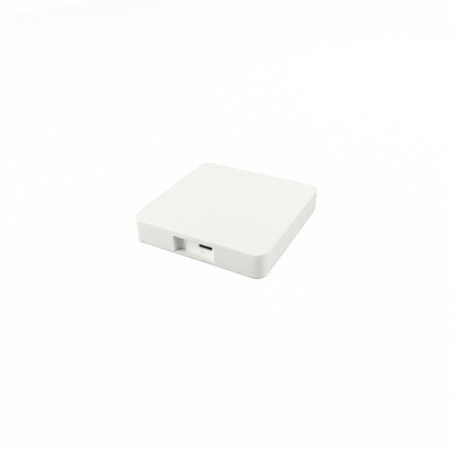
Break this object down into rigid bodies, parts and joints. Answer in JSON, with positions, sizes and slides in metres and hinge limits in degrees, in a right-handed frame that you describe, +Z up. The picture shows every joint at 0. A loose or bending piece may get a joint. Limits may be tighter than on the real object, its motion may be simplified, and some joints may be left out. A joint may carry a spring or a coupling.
{
  "type": "smart hub",
  "caption": "Flat square smart hub: white moulded cover and tray, a recessed USB-C port in one side, board, radios, reset button and rubber feet.",
  "frame": {"origin": "centre of the footprint, on the surface that the feet stand on", "axes": "+Z up, -Y out of the port face, +X to the right of someone facing the port"},
  "size_m": [0.09, 0.09, 0.0182],
  "materials": {
    "cover_white": "fine satin moulded",
    "tray_white": "fine satin moulded",
    "button_grey": "satin moulded",
    "steel": "tinned sheet",
    "screw_steel": "zinc plated",
    "insulator_black": "moulded",
    "gold_contact": "gold plated",
    "board_green": "solder resist on glass laminate",
    "module_board": "solder resist on glass laminate",
    "chip_black": "moulded epoxy",
    "ferrite_grey": "moulded ferrite",
    "can_aluminium": "drawn and sleeved",
    "ceramic_tan": "sintered ceramic",
    "resistor_black": "glazed",
    "lamp_white": "diffusing",
    "clear_guide": "clear moulded",
    "foot_rubber": "matt"
  },
  "bodies": {
    "housing": {"top_cover": "cover_white", "base_tray": "tray_white", "main_board": "board_green", "usb_c_shell": "steel", "usb_c_tongue": "insulator_black", "usb_c_contacts": "gold_contact", "wifi_module_board": "module_board", "wifi_module_can": "steel", "mesh_radio_chip": "chip_black", "mesh_radio_can": "steel", "mesh_antenna": "steel", "processor_chip": "chip_black", "memory_chip": "chip_black", "flash_chip": "chip_black", "crystals": "steel", "regulator_chip": "chip_black", "power_inductor": "ferrite_grey", "bulk_capacitors": "can_aluminium", "bulk_capacitor_bases": "insulator_black", "chip_capacitors": "ceramic_tan", "chip_resistors": "resistor_black", "status_led": "lamp_white", "light_guide": "clear_guide", "board_screws": "screw_steel", "switch_housing": "insulator_black", "switch_plate": "steel", "switch_dome": "steel", "rubber_foot_1": "foot_rubber", "rubber_foot_2": "foot_rubber", "rubber_foot_3": "foot_rubber", "rubber_foot_4": "foot_rubber"},
    "button": {"reset_button": "button_grey", "switch_plunger": "insulator_black"}
  },
  "joints": [
    {"name": "reset_press", "type": "slide", "parent": "housing", "child": "button", "axis": [0, 0, 1], "range_m": [0, 0.00025], "stiffness_N_per_m": 1500, "springref_m": -0.0001, "deforming": ["switch_dome"]}
  ]
}
